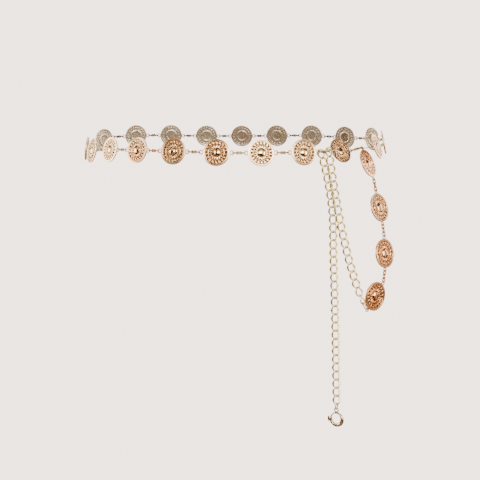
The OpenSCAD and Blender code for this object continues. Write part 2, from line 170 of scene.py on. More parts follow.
def end_fans(rows, columns):
    """Triangles that close a grid's first and last row on two points which follow the grid's own."""
    ring = np.arange(columns)
    beside, last, points = (ring + 1) % columns, (rows - 1) * columns, rows * columns
    return np.vstack([stacked(points, beside, ring), stacked(points + 1, last + ring, last + beside)])


def repeated(faces, count, size):
    """The same faces for `count` copies of a shape with `size` points."""
    return (faces[None] + size * np.arange(count)[:, None, None]).reshape(-1, faces.shape[1])


def laid_in(frames, shape):
    """A shape's points set into each frame: middle + x * long + y * wide + z * thin."""
    return (frames[:, None, 0] + np.einsum("pk,nkj->npj", shape, frames[:, 1:])).reshape(-1, 3)


def add_piece(name, points, faces, body, material, slot, stands_for, uv=None, **marks):
    """A mesh object from points in mm, lists of faces, an optional UV and named marks per point.
    Faces that look inward are turned, and a face across the UV's seam is carried on past 1."""
    mesh = bpy.data.meshes.new(name)
    a, b, c = (points[faces[0][:, k]] for k in range(3))
    if np.einsum("ni,ni->", a - points.mean(axis=0), np.cross(b - a, c - a)) < 0:
        faces = [f[:, ::-1] for f in faces]
    corners = np.concatenate([f.ravel() for f in faces])
    sides = np.concatenate([np.full(len(f), f.shape[1]) for f in faces])
    mesh.vertices.add(len(points))
    mesh.vertices.foreach_set("co", (points * MM).ravel())
    mesh.loops.add(len(corners))
    mesh.loops.foreach_set("vertex_index", corners)
    mesh.polygons.add(len(sides))
    mesh.polygons.foreach_set("loop_start", np.cumsum(sides) - sides)
    mesh.polygons.foreach_set("use_smooth", np.ones(len(sides), dtype=bool))
    mesh.update(calc_edges=True)
    if uv is not None:
        around = [uv[f] for f in faces]
        whole = np.concatenate([(f + (f.max(axis=1, keepdims=True) - f > 0.5)).ravel() for f in around])
        mesh.uv_layers.new(name="wire").data.foreach_set("uv", whole)
    for mark, values in marks.items():
        spread = np.broadcast_to(values, len(points)).astype(float)
        mesh.attributes.new(mark, "FLOAT", "POINT").data.foreach_set("value", spread)
    mesh.validate()
    piece = placed(name, mesh)
    mesh.materials.append(material)
    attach(piece, body)
    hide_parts(stands_for)

# %% [markdown]
# ## Node helpers
# The finishes are node graphs. These helpers keep each graph readable: `step` adds a node and joins
# its sockets, `mixed` blends two colours, `worked` and `topped` do sums, and `ramped` maps a range of
# values onto another.

# %% Node helpers
# A mix node has sockets for every kind of data. These are the numbers of the ones for colours.
MIX_SHARE, MIX_FIRST, MIX_SECOND, MIX_RESULT = 0, 6, 7, 2


def step(tree, kind, joined=(), **sockets):
    """A node with plain values in named sockets, and outputs of other nodes joined to its sockets."""
    made = tree.nodes.new(kind)
    for socket, value in sockets.items():
        made.inputs[socket.replace("_", " ")].default_value = value
    for socket, source in dict(joined).items():
        tree.links.new(source, made.inputs[socket])
    return made


def new_finish(name):
    """A new material with nodes, its node tree and its shader."""
    material = bpy.data.materials.new(name)
    material.use_nodes = True
    return material, material.node_tree, material.node_tree.nodes["Principled BSDF"]


def feed(tree, node, socket, value):
    """Another node's output joined to a socket, or a plain value set there."""
    if isinstance(value, bpy.types.NodeSocket):
        tree.links.new(value, node.inputs[socket])
    else:
        node.inputs[socket].default_value = value


def mixed(tree, share, first, second):
    """Colour between first and second. Each is an RGB triple or another node's output."""
    made = tree.nodes.new("ShaderNodeMix")
    made.data_type = "RGBA"
    feed(tree, made, MIX_SHARE, share)
    for socket, colour in ((MIX_FIRST, first), (MIX_SECOND, second)):
        feed(tree, made, socket, (*colour, 1) if isinstance(colour, tuple) else colour)
    return made.outputs[MIX_RESULT]


def ramped(tree, value, low, high, to_low=0.0, to_high=1.0):
    """A value from low..high mapped smoothly onto to_low..to_high, held at both ends."""
    made = step(tree, "ShaderNodeMapRange", {"Value": value}, From_Min=low, From_Max=high,
                To_Min=to_low, To_Max=to_high)
    made.interpolation_type = "SMOOTHSTEP"
    return made.outputs["Result"]


def worked(tree, operation, first, second):
    """One sum of two values, each a number or another node's output, held to 0..1."""
    made = tree.nodes.new("ShaderNodeMath")
    made.operation = operation
    made.use_clamp = True
    feed(tree, made, 0, first)
    feed(tree, made, 1, second)
    return made.outputs[0]


def topped(tree, value, extra, share):
    """value + extra * share, held to 0..1."""
    return worked(tree, "ADD", value, worked(tree, "MULTIPLY", extra, share))


def marked(tree, name):
    """The value that a mark of the mesh holds at each point."""
    made = tree.nodes.new("ShaderNodeAttribute")
    made.attribute_name = name
    return made.outputs["Fac"]


def speckle(tree, scale, detail=3.0, stretch=(1, 1, 1)):
    """Noise on Object coordinates, `scale` specks to the metre, drawn out along some axes."""
    place = tree.nodes.new("ShaderNodeTexCoord").outputs["Object"]
    turned = step(tree, "ShaderNodeMapping", {"Vector": place}, Scale=stretch)
    return step(tree, "ShaderNodeTexNoise", {"Vector": turned.outputs[0]}, Scale=scale,
                Detail=detail).outputs["Fac"]


def grained(tree, heights, depth):
    """Normals that follow a height pattern, `depth` metres deep."""
    return step(tree, "ShaderNodeBump", {"Height": heights}, Strength=1.0, Distance=depth).outputs[0]

# %% [markdown]
# ## The cast discs' finish
# The discs are plated brass, dipped in a dark antique wash and then wiped, so the wash stays in the
# hollows and the high places are bright. Some have taken a coppery tone and some are paler. The
# mesh carries four marks: how deep the wash lies, with painted shade added on the backs, whether a
# place is on the back, how far out it lies on the front, which tells the polished dome from the rest,
# and how coppery the disc is. The backs are painted a brown grey with darker stains: painted shade,
# as the backs that show belong to the far side of the belt and face into it.

# %% Cast gold
PALE_GOLD = (1.0, 0.66, 0.34)
COPPER_GOLD = (0.90, 0.38, 0.14)
TARNISH = (0.70, 0.38, 0.17)
WASH_AND_SHADE_BROWN = (0.17, 0.075, 0.032)
# The backs' colours are painted shade: a brown grey with darker stains and a coppery tone.
SHADED_BACK, SHADED_STAINED_BACK, SHADED_COPPERY_BACK = (0.98, 0.80, 0.56), (0.70, 0.54, 0.36), (0.62, 0.40, 0.28)
POLISHED_REACH = 0.333
CAST_GRAIN_DEPTH = 0.00004
# Specks to the metre of each unevenness, from slow clouds of tone to fine grain.
CLOUDS, STAINS, FRECKLES, BRUSHING, WIPING, GRAIN, FINE_GRAIN = 55, 300, 420, 700, 900, 1800, 5200


def cast_gold_finish():
    """Bright and wiped on high places, brown wash in the hollows, painted shade of brown grey on the
    back.
    """
    material, tree, shader = new_finish("cast_gold")
    feed(tree, shader, "Metallic", 1)
    clouds = ramped(tree, speckle(tree, CLOUDS), 0.4, 0.7, 0, 0.3)
    gold = mixed(tree, worked(tree, "ADD", marked(tree, "copper"), clouds), PALE_GOLD, COPPER_GOLD)
    freckles = ramped(tree, speckle(tree, FRECKLES, 6), 0.35, 0.75, 0, 0.22)
    gold = mixed(tree, freckles, gold, TARNISH)
    # The back's tone, mixed in by the back mark, is painted shade for backs that face into the belt.
    stains = ramped(tree, speckle(tree, STAINS, 6), 0.35, 0.7)
    shaded_back_tone = mixed(tree, stains, SHADED_BACK, SHADED_STAINED_BACK)
    shaded_back_tone = mixed(tree, worked(tree, "MULTIPLY", marked(tree, "copper"), 0.6), shaded_back_tone, SHADED_COPPERY_BACK)
    gold = mixed(tree, marked(tree, "back"), gold, shaded_back_tone)
    wiped = ramped(tree, speckle(tree, WIPING, 4), 0.3, 0.8, 0, 0.25)
    # The wash mark darkens towards the wash brown: antique wash in the hollows, and painted shade on the
    # backs.
    wash_and_shade_share = ramped(tree, worked(tree, "SUBTRACT", marked(tree, "hollow"), wiped), 0.12, 0.72)
    feed(tree, shader, "Base Color", mixed(tree, wash_and_shade_share, gold, WASH_AND_SHADE_BROWN))
    brushed = ramped(tree, speckle(tree, BRUSHING, 5), 0.3, 0.75, 0.13, 0.27)
    rough = topped(tree, topped(tree, brushed, wash_and_shade_share, 0.3), marked(tree, "back"), 0.16)
    dome = worked(tree, "LESS_THAN", marked(tree, "reach"), POLISHED_REACH)
    feed(tree, shader, "Roughness", worked(tree, "SUBTRACT", rough, worked(tree, "MULTIPLY", dome, 0.1)))
    grain = worked(tree, "MULTIPLY", speckle(tree, GRAIN, 4), 0.6)
    grain = topped(tree, grain, speckle(tree, FINE_GRAIN, 2, (1, 1, 0.3)), 0.4)
    feed(tree, shader, "Normal", grained(tree, grain, CAST_GRAIN_DEPTH))
    return material


cast_gold = cast_gold_finish()
print("finish:", cast_gold.name)

# %% [markdown]
# ## The surface of a medallion
# A cast disc is a height over a round plate. The outline of its mouldings depends on the distance
# from the middle alone: a smooth dome, a ring, and a smooth outer band with two turned grooves.
# Petals and slanted leaves also depend on the angle. We take the highest of all these forms at each
# point of a polar grid. The grid is twisted through the wreath, so that its lines run along the
# leaves and keep their edges crisp. The back is a flatter echo of the front, as thin castings show.

# %% Medallion relief
COLUMNS = 162
PETALS, LEAVES = 17, 18
DOME_TOP, DOME_FOOT, LEAF_FOOT = 1.65, 0.3, 0.35
# Places on the front, as shares of the radius.
DOME_RIM = 0.334
PETAL_IN, PETAL_BEND, PETAL_OUT = 0.355, 0.435, 0.547
RING_MIDDLE, RING_HALF = 0.59, 0.036
LEAF_IN, LEAF_LENGTH = 0.627, 0.192
BAND_IN = 0.835
# Lines of the outline as two rows: shares of the radius, and heights in mm there.
FLOOR_LINE = [0.55, 0.57, 0.815, 0.83, 0.842], [0.30, LEAF_FOOT, LEAF_FOOT, 0.5, 0.8]
PETAL_FOOT_LINE = [PETAL_IN, 0.41, 0.47], [0.62, 0.7, 0.3]
BAND_LINE = [BAND_IN, 0.845, 0.9, 0.975, 0.99, 1], [0.6, 0.84, 0.88, 0.84, 0.7, 0.45]
BACK_LINE = [0.36, 0.4, 0.84, 0.87, 0.98, 1], [0.35, 0.4, 0.38, 0.62, 0.62, 0.45]
# Rings and grooves: middle and half width as shares of the radius, and height or depth in mm.
FRONT_GROOVES = (0.862, 0.006, 0.26), (0.925, 0.006, 0.22)
BACK_RING, BACK_GROOVE = (0.455, 0.07, 0.3), (0.925, 0.012, 0.1)
# Heights in mm: top of a petal, base and rise of the ring, rise and vein of a leaf.
PETAL_TOP, RING_BASE, RING_RISE, LEAF_RISE, VEIN = 0.98, 0.4, 0.6, 0.5, 0.08
# Half widths of a leaf and its vein, as shares of the leaf's part of the turn.
LEAF_WIDTH, VEIN_WIDTH = 0.37, 0.07
# Leaf marks and dents of the back: middle, half length, half width, and height in mm.
BACK_MARK, BACK_DENT = (0.755, 0.06, 0.36, 0.26), (0.655, 0.035, 0.2, 0.16)
# The grid's twist: where it begins, over what length it runs, and where it is nothing.
TWIST_IN, TWIST_LENGTH, UNTWISTED = 0.63, 0.185, 0.72
LEAF_SLANT, S_BEND = math.tan(math.radians(38)), 0.05


def moulding(share, middle, half, height):
    """The top half of an ellipse over a band of the radius: height * sqrt(1 - offset ** 2)."""
    return height * np.sqrt(np.clip(1 - ((share - middle) / half) ** 2, 0, 1))


def groove(share, middle, half, depth):
    """A bell-shaped line round the disc: depth * exp(-offset ** 2)."""
    return depth * np.exp(-((share - middle) / half) ** 2)


def part_of_turn(turn, count):
    """Place across one of `count` equal parts of the circle, from -0.5 to 0.5."""
    return (turn * count / (2 * np.pi)) % 1 - 0.5


def twist(share):
    """Turn of the grid along the leaves: tan(slant) * ln(share / UNTWISTED), held outside the wreath,
    and a slight S: S_BEND * sin(2 pi * along). A line with such a turn keeps one slant all along."""
    along = np.clip((share - TWIST_IN) / TWIST_LENGTH, 0, 1)
    slant = LEAF_SLANT * np.log((TWIST_IN + TWIST_LENGTH * along) / UNTWISTED)
    return slant + S_BEND * np.sin(2 * np.pi * along)


def front_height(share, turn):
    """Height of the front over the middle plane in mm: the highest of floor, dome, petals, ring,
    leaves and the smooth outer band with its two grooves. The dome falls as
    (1 - (share / rim) ** 1.8) ** 0.6. Across a petal the height falls as (1 - offset ** 2) ** 0.55,
    and across a leaf as sqrt(1 - offset ** 2) with a vein, where the offset is the angle over the
    half angle at that place: sqrt(1 - bend ** 2) for a petal, sin(pi * along) ** 0.32 for a leaf."""
    floor = np.interp(share, *FLOOR_LINE)
    swell = (1 - np.clip(share / DOME_RIM, 0, 1) ** 1.8) ** 0.6
    dome = np.where(share < DOME_RIM, DOME_FOOT + (DOME_TOP - DOME_FOOT) * swell, 0)
    across = part_of_turn(turn, PETALS)
    bend = np.clip(share - PETAL_BEND, 0, 1) / (PETAL_OUT - PETAL_BEND)
    half = 0.5 * np.sqrt(np.clip(1 - bend ** 2, 1e-6, 1))
    foot = np.interp(share, *PETAL_FOOT_LINE)
    petal = foot + (PETAL_TOP - foot) * np.clip(1 - (across / half) ** 2, 0, 1) ** 0.55
    petal = np.where((share > PETAL_IN) & (share < PETAL_OUT), petal, 0)
    ring = moulding(share, RING_MIDDLE, RING_HALF, RING_RISE) + RING_BASE
    ring = np.where(abs(share - RING_MIDDLE) < RING_HALF, ring, 0)
    across = part_of_turn(turn, LEAVES)
    along = np.clip((share - LEAF_IN) / LEAF_LENGTH, 0, 1)
    half = LEAF_WIDTH * np.clip(np.sin(np.pi * along), 1e-3, 1) ** 0.32
    vein = VEIN * np.exp(-(across / VEIN_WIDTH) ** 2)
    leaf = LEAF_FOOT + LEAF_RISE * np.sqrt(np.clip(1 - (across / half) ** 2, 0, 1)) - vein
    leaf = np.where((along > 0) & (along < 1), leaf, 0)
    band = np.interp(share, *BAND_LINE) - sum(groove(share, *line) for line in FRONT_GROOVES)
    band = np.where(share > BAND_IN, band, 0)
    return np.maximum.reduce(np.broadcast_arrays(floor, dome, petal, ring, leaf, band))


def back_height(share, turn):
    """Depth of the back under the middle plane in mm: a floor and a rim with one groove, a ring,
    and for each leaf a mark, sqrt(1 - r ** 2), and a dent, exp(-r ** 2), where r ** 2 is the sum of
    the squared offsets along and across it."""
    across = part_of_turn(turn, LEAVES)
    middle, length, width, height = BACK_MARK
    mark = height * np.sqrt(np.clip(1 - ((share - middle) / length) ** 2 - (across / width) ** 2, 0, 1))
    middle, length, width, height = BACK_DENT
    dent = height * np.exp(-((share - middle) / length) ** 2 - (across / width) ** 2)
    floor = np.interp(share, *BACK_LINE)
    return floor + moulding(share, *BACK_RING) + mark - dent - groove(share, *BACK_GROOVE)

# %% [markdown]
# ## Rows and columns of the grid
# Crisp edges on a casting need points on both sides of each edge. So the rows lie closer where the
# outline bends and far apart where it is smooth, which keeps the number of faces low.

# %% Medallion grid
front_shares = np.concatenate([
    np.linspace(0.03, 0.30, 8), [0.316, 0.327, 0.3335, 0.345, 0.354], np.linspace(0.357, 0.547, 12),
    np.linspace(0.5535, 0.6265, 8), np.linspace(0.632, 0.815, 14), [0.822, 0.829, 0.836, 0.845, 0.854],
    [0.859, 0.862, 0.865, 0.87, 0.895, 0.917, 0.921, 0.925, 0.929, 0.934],
    [0.955, 0.975, 0.985, 0.992, 0.997]])
back_shares = np.array([
    0.992, 0.975, 0.95, 0.93, 0.922, 0.905, 0.88, 0.862, 0.845, 0.82, 0.795, 0.77, 0.745, 0.72, 0.695,
    0.67, 0.645, 0.62, 0.58, 0.53, 0.51, 0.49, 0.455, 0.42, 0.4, 0.37, 0.3, 0.15])
turns = angles(COLUMNS)
BELT_DISCS, BELT_R, DROP_R = 20, 12.5, 14
print("medallion grid:", len(front_shares) + len(back_shares) + 3, "x", COLUMNS)

# %% [markdown]
# ## Casting a medallion
# The rows go from the middle of the front over the rounded edge to the middle of the back, and two
# single points close the middles. The wash comes from the same heights: on the front, the wash mark
# is how far a place lies under the level that the wiping cloth reached, with a dark line round the
# foot of the dome. So wash and relief can never slip apart. On the back the same mark also carries
# painted shade.

# %% Medallion surface
WIPED_LEVEL, WIPED_DEPTH = 0.78, 0.4
DOME_WASH = (0.343, 0.012, 0.6)
EDGE_HOLLOW, BACK_MIDDLE_HOLLOW = 0.15, 0.3
# The rounded edge from front to back: height in mm, share of the radius, how far it is on the back.
EDGE = np.array([[0.32, 0.999, 0.2], [0, 1, 0.6], [-0.3, 0.999, 0.9]])


def medallion_surface(radius):
    """Points in mm, faces, and three marks of one disc in its own frame: how dark the wash is, with
    painted shade on the back, whether a place is on the back, and how far out it lies (share of the
    radius on the front)."""
    share, share_b = front_shares[:, None], back_shares[:, None]
    front, back = front_height(share, turns), back_height(share_b, turns)
    wreath = (share > 0.332) & (share < 0.98)
    front_hollow = np.clip((WIPED_LEVEL - front) / WIPED_DEPTH, 0, 1) * wreath
    front_hollow += groove(share, *DOME_WASH)
    # On the back the wash follows the depth, and the outer band and middle get a flat painted shade.
    back_hollow = 0.5 * np.clip((0.52 - back) / 0.3, 0, 1)
    back_hollow += 0.28 * (share_b > 0.86) + 0.08 * (share_b < 0.38)
    edge_height, edge_share, edge_back = EDGE.T[:, :, None] + 0 * turns
    shares = np.concatenate([share + 0 * front, edge_share, share_b + 0 * back])
    heights = np.concatenate([front, edge_height, -back])
    hollow = np.concatenate([front_hollow, EDGE_HOLLOW + 0 * edge_share, back_hollow])
    behind = np.concatenate([0 * front, edge_back, 1 + 0 * back])
    angle = turns + twist(shares)
    grid = stacked(radius * shares * np.cos(angle), radius * shares * np.sin(angle), heights)
    points = np.vstack([grid.reshape(-1, 3), [[0, 0, DOME_TOP], [0, 0, -back_height(0, 0)]]])
    faces = [grid_quads(len(shares), COLUMNS)[:, ::-1], end_fans(len(shares), COLUMNS)[:, ::-1]]
    hollow = np.append(hollow.ravel(), [0, BACK_MIDDLE_HOLLOW])
    reach = np.append(np.where(behind > 0, 1, shares).ravel(), [0, 1])
    return points, faces, hollow, np.append(behind.ravel(), [0, 1]), reach


surfaces = {radius: medallion_surface(radius) for radius in (BELT_R, DROP_R)}
print("disc surfaces:", {radius: len(surface[0]) for radius, surface in surfaces.items()}, "points")

# %% [markdown]
# ## Eyes and places
# Each eye is a ring of wire soldered to the rim, and a little thicker where the solder holds it.
# A disc goes where its CAD node is: the node's own axes give the turn, and its dome tells front from
# back. Casts from one mould still age apart, so each disc has its own share of copper tone, and some
# backs get more painted shade.

# %% Medallions in their places
EYE_R, EYE_WIRE, EYE_SINK, SOLDER = 1.8, 1.0, 0.6, 0.18
# The eyes take a quarter of the backs' painted shade tone.
EYE_HOLLOW, EYE_BACK = 0.42, 0.25
# How coppery each disc is, from 01 to 24, and how much more painted shade some backs get.
COPPERY = (0.36, 0.02, 0.0, 0.3, 0.42, 0.35, 0.15, 0.1, 0.2, 0.35, 0.1, 0.05,
           0.15, 0.8, 0.5, 0.1, 0.0, 0.05, 0.45, 0.45, 0.6, 0.65, 0.75, 1.0)
FAR_BACK_SHADE = {14: 0.08, 15: 0.05, 16: 0.12, 17: 0.3, 18: 0.24, 19: 0.12}


def eye_surface(side, radius, rows=36, columns=12):
    """A ring of wire beside the rim: round the eye's middle at EYE_R, with the wire's half width
    swelling by SOLDER * exp(-(angle from the disc / 0.42) ** 2) where it meets the disc."""
    turn, around = angles(rows)[:, None], angles(columns)[None]
    half = EYE_WIRE / 2 + SOLDER * np.exp(-((np.pi - turn) / 0.42) ** 2)
    reach = EYE_R + half * np.cos(around)
    middle = radius + EYE_R + EYE_WIRE / 2 - EYE_SINK
    x = side * (middle + reach * np.cos(turn))
    y = side * reach * np.sin(turn)
    z = half * np.sin(around)
    return stacked(x, y, z).reshape(-1, 3), grid_quads(rows, columns, ring=True)[:, ::-1]


def medallion_frame(name, radius):
    """The disc's frame: long axis through the eyes, the middle of its extent along that axis and
    across it, and the thin axis turned to the side of the dome, which is DOME_TOP high."""
    points, triangles = merged_triangles(name)
    middle, long, wide, thin = surface_frame(points, triangles)
    local = (points - middle) @ np.array([long, wide, thin]).T
    near = np.hypot(local[:, 0], local[:, 1]) < 0.3 * radius
    if -local[near, 2].min() > local[near, 2].max():
        wide, thin, local = -wide, -thin, local * (1, -1, -1)
    reach = (local.max(axis=0) + local.min(axis=0)) / 2
    offset = np.array([reach[0], reach[1], local[:, 2].max() - DOME_TOP])
    return np.array([middle + offset @ np.array([long, wide, thin]), long, wide, thin])


disc_frames = {}
for number, copper in enumerate(COPPERY, start=1):
    name = f"medallion_{number:02d}"
    radius = BELT_R if number <= BELT_DISCS else DROP_R
    disc_frames[number] = medallion_frame(name, radius)[None]
    shape, faces, hollow, behind, reach = surfaces[radius]
    (left_eye, eye_faces), (right_eye, _) = (eye_surface(side, radius) for side in (1, -1))
    points = laid_in(disc_frames[number], np.vstack([shape, left_eye, right_eye]))
    rings = repeated(eye_faces, 2, len(left_eye)) + len(shape)
    on_eyes = np.ones(2 * len(left_eye))
    # Some far discs' backs get extra painted shade on top of their wash.
    add_piece(f"cast_{name}", points, [*faces, rings], "chain", cast_gold, "cast_gold", name,
              hollow=np.append(hollow + FAR_BACK_SHADE.get(number, 0) * behind, EYE_HOLLOW * on_eyes),
              back=np.append(behind, EYE_BACK * on_eyes), reach=np.append(reach, on_eyes), copper=copper)
print("medallions cast:", len(disc_frames), "with", len(points), "points each")

# %% [markdown]
# ## Wire finishes
# The links are bent from drawn wire: fine lines run along the wire, and the wire is darker on the
# inside of its bends, where one link lies in the next. The UV map runs along the wire and round it, so
# the draw lines and the thin closed joint of each link follow the wire wherever it goes. The belt's far
# links are painted almost black and lose their metal look, as painted shade for the far side of the
# belt. The mesh carries this as a mark of its own, which also makes other wire duller.

# %% Wire gold
JOINT_FROM, JOINT_TO = 0.247, 0.253
DRAW_LINES = (6, 90, 1)
WIRE_GRAIN_DEPTH = 0.00002
WIRE_PATCHES, WIRE_BRUSHING = 260, 900


def wire_finish(name, bright, dark, worn, roughness):
    """Drawn wire: bright gold, worn in patches, with draw lines and a closed joint. It is darker on the
    inside of the bends, and dark where it is dull or carries painted shade."""
    material, tree, shader = new_finish(name)
    uv = tree.nodes.new("ShaderNodeUVMap")
    uv.uv_map = "wire"
    along = step(tree, "ShaderNodeSeparateXYZ", {"Vector": uv.outputs[0]}).outputs[0]
    patches = ramped(tree, speckle(tree, WIRE_PATCHES, 5), 0.38, 0.72)
    gold = mixed(tree, worked(tree, "MULTIPLY", patches, 0.55), bright, worn)
    gold = mixed(tree, marked(tree, "copper"), gold, COPPER_GOLD)
    # One mark makes the wire dull, dark and less metal: duller wire, and painted shade on the far links
    # and the slot.
    dull = topped(tree, marked(tree, "dull"), marked(tree, "rub"), 0.3)
    gold = mixed(tree, dull, gold, dark)
    joint = worked(tree, "MULTIPLY", worked(tree, "GREATER_THAN", along, JOINT_FROM),
                   worked(tree, "LESS_THAN", along, JOINT_TO))
    feed(tree, shader, "Base Color", mixed(tree, joint, gold, dark))
    rough = ramped(tree, speckle(tree, WIRE_BRUSHING, 4), 0.3, 0.75, roughness, roughness + 0.16)
    feed(tree, shader, "Roughness", topped(tree, rough, dull, 0.3))
    feed(tree, shader, "Metallic", ramped(tree, marked(tree, "dull"), 0.6, 0.95, 1, 0))
    shader.inputs["Specular IOR Level"].default_value = 0.2
    stretched = step(tree, "ShaderNodeMapping", {"Vector": uv.outputs[0]}, Scale=DRAW_LINES)
    lines = step(tree, "ShaderNodeTexNoise", {"Vector": stretched.outputs[0]}, Scale=1.0, Detail=2.0)
    feed(tree, shader, "Normal", grained(tree, lines.outputs["Fac"], WIRE_GRAIN_DEPTH))
    return material


link_gold = wire_finish("link_gold", (0.60, 0.40, 0.13), (0.022, 0.015, 0.010), (0.16, 0.09, 0.03), 0.2)
curb_gold = wire_finish("curb_gold", (1.0, 0.80, 0.32), (0.16, 0.09, 0.02), (0.84, 0.57, 0.14), 0.26)
clasp_gold = wire_finish("clasp_gold", (1.0, 0.70, 0.40), (0.07, 0.035, 0.015), (0.60, 0.34, 0.14), 0.07)
print("wire finishes:", link_gold.name, curb_gold.name, clasp_gold.name)

# %% [markdown]
# ## Wire along a line
# Every link is a wire bent along a line that closes on itself. We carry an ellipse along the line,
# always with one axis pointing away from the middle, so the wire never twists, and its width can
# change from place to place as a rolled or squeezed wire's does.

# %% Wire along a closed line
BEND_DARK_FROM, BEND_DARK_OVER = 0.7, 0.3


def closed_wire(path, half, columns, across=None):
    """Wire round a closed line: at each point of the path, an ellipse of half width `half` outward
    from the middle and `across` (the same if left out) square to that and to the line. Gives the
    points, their UV, and a mark that grows on the inside of the bends, where the wire is darkened."""
    ahead = unit(np.roll(path, -1, axis=0) - np.roll(path, 1, axis=0))
    out = unit(path - (path * ahead).sum(axis=1, keepdims=True) * ahead)
    side = np.cross(ahead, out)
    around = angles(columns)
    halves = (half, half if across is None else across)
    outward, across = (np.broadcast_to(h, len(path))[:, None, None] for h in halves)
    cos, sin = np.cos(around)[None, :, None], np.sin(around)[None, :, None]
    spread = outward * out[:, None] * cos + across * side[:, None] * sin
    along = np.arange(len(path)) / len(path)
    uv = stacked(along[:, None], (around / (2 * np.pi))[None])
    near_bend = np.clip((abs(np.cos(along * 2 * np.pi)) - BEND_DARK_FROM) / BEND_DARK_OVER, 0, 1)
    rub = np.clip(-np.cos(around), 0, 1)[None] * near_bend[:, None]
    return (path[:, None] + spread).reshape(-1, 3), uv.reshape(-1, 2), rub.ravel()


def add_links(name, path, half, columns, material, slot, copper=0.0, dull=0.0, across=None):
    """All the loose links of one node: the same wire laid into every measured frame. `copper` and the
    mark for dull wire and painted shade are each one mark for all the links, or one for every link."""
    frames = link_frames[name]
    shape, uv, rub = closed_wire(path, half, columns, across)
    faces = repeated(grid_quads(len(path), columns, ring=True), len(frames), len(shape))
    copper, dull = (np.repeat(np.broadcast_to(mark, len(frames)), len(shape)) for mark in (copper, dull))
    add_piece(f"bent_{name}", laid_in(frames, shape), [faces], "chain", material, slot, name,
              uv=np.tile(uv, (len(frames), 1)), rub=np.tile(rub, len(frames)), copper=copper, dull=dull)

# %% [markdown]
# ## Small oval links
# A round jump ring is drawn into an oval: the two halves of a circle are moved apart and the wire
# between them runs straight. As one function, a point of the circle is shifted along x by its own
# cosine, held at the ends, so the bends stay round where they hold the next link. The belt's links
# are then squeezed at the waist, which closes their middle and keeps each neighbour at its end.
# The far side's links get painted shade, almost black, and one gap's links have turned coppery.

# %% Small links
# Opening along and across, and the wire, of each kind of link in mm.
OVAL, LOWER, CLASP = (3.7, 1.3, 1.0), (6.8, 2.9, 1.0), (4.8, 2.6, 1.1)
SQUEEZE, PINCHED, DROP_HALF = 0.54, 0.17, 0.56


def oval_path(opening, opening_w, wire, count=48, squeeze=0.0):
    """Circle of radius r, each point moved along x by half the straight length times its cosine
    over 0.25, held to -1..1. A squeeze draws the sides in by that share * exp(-(x / 0.65) ** 2).
    The points lie closer along the sides: each turns on by 0.35 * sin(2 * turn)."""
    turn = angles(count)
    turn = turn + 0.35 * np.sin(2 * turn)
    r = (opening_w + wire) / 2
    x = r * np.cos(turn) + (opening - opening_w) / 2 * np.clip(np.cos(turn) / 0.25, -1, 1)
    return stacked(x, r * np.sin(turn) * (1 - squeeze * np.exp(-(x / 0.65) ** 2)), 0.0)


def far_side_dull(middles):
    """Share of painted shade from 0 at y = 5 mm to 1 behind y = 55 mm, as t * t * (3 - 2 * t)."""
    t = np.clip((middles[:, 1] - 5) / 50, 0, 1)
    return t * t * (3 - 2 * t)


def coppery_gap(middles):
    """The three links between medallions 05 and 06 are coppery: a bell over 12 mm round the gap."""
    gap = (disc_frames[5][0, 0] + disc_frames[6][0, 0]) / 2
    return 0.9 * np.exp(-(np.linalg.norm(middles - gap, axis=1) / 12) ** 4)


squeezed = oval_path(*OVAL, squeeze=SQUEEZE)
pinched_half = OVAL[2] / 2 + PINCHED * np.exp(-(squeezed[:, 0] / 0.75) ** 2)
# The far links are painted darker towards the back, as painted shade.
middles = link_frames["waist_links"][:, 0]
add_links("waist_links", squeezed, pinched_half, 8, link_gold, "link_gold",
          copper=coppery_gap(middles), dull=far_side_dull(middles))
add_links("drop_links", oval_path(*OVAL), DROP_HALF, 10, link_gold, "link_gold", copper=0.85, dull=0.5)
add_links("lower_link", oval_path(*LOWER, 56), LOWER[2] / 2, 12, link_gold, "link_gold", copper=0.75)
add_links("clasp_link", oval_path(*CLASP), CLASP[2] / 2, 12, curb_gold, "curb_gold")
print("small links bent:", sum(len(link_frames[name]) for name in link_frames if name != "curb_chain"))

# %% [markdown]
# ## Twisted curb links
# A curb link is an oval of wire gripped at both ends and twisted, so the ends lie almost flat on
# each other in the chain. Its centre line is x = a cos(t), and a half width that turns by
# 37 degrees times cos(t) about the length. The long sides are rolled a little flatter and broader
# than the wire's ends, which gives the chain its broad bright flanks.

# %% Curb chain
CURB_TIP, CURB_HALF_WIDTH, CURB_TWIST = 4.675, 3.1, math.radians(37)
CURB_WIRE_HALF, ROLLED_BROADER, ROLLED_FLATTER = 0.63, 0.36, 0.12
turn = angles(48)
lean = CURB_TWIST * np.cos(turn)
curb_path = stacked(CURB_TIP * np.cos(turn), CURB_HALF_WIDTH * np.sin(turn) * np.cos(lean),
                    CURB_HALF_WIDTH * np.sin(turn) * np.sin(lean))
rolled = np.sin(turn) ** 6
add_links("curb_chain", curb_path, CURB_WIRE_HALF + ROLLED_BROADER * rolled, 12, curb_gold, "curb_gold",
          dull=0.04, across=CURB_WIRE_HALF - ROLLED_FLATTER * rolled)
print("curb links bent:", len(link_frames["curb_chain"]))

# %% [markdown]
# ## The hook
# The closure is a small S of wire. Its CAD surface already has the right bends. A CAD mesh stays as
# it is, so a copy is merged, shaded smooth and given the links' finish. All its points share one
# place along the wire in the UV, so no closed joint shows on it.

# %% Hook
points, triangles = merged_triangles("hook")
hook_uv = 0.4 * stacked(0.5, points[:, 2] / 3 % 1)
add_piece("bent_hook", points, [triangles], "chain", link_gold, "link_gold", "hook", uv=hook_uv,
          rub=0.5, copper=0.1, dull=0.05)
print("hook points:", len(points))

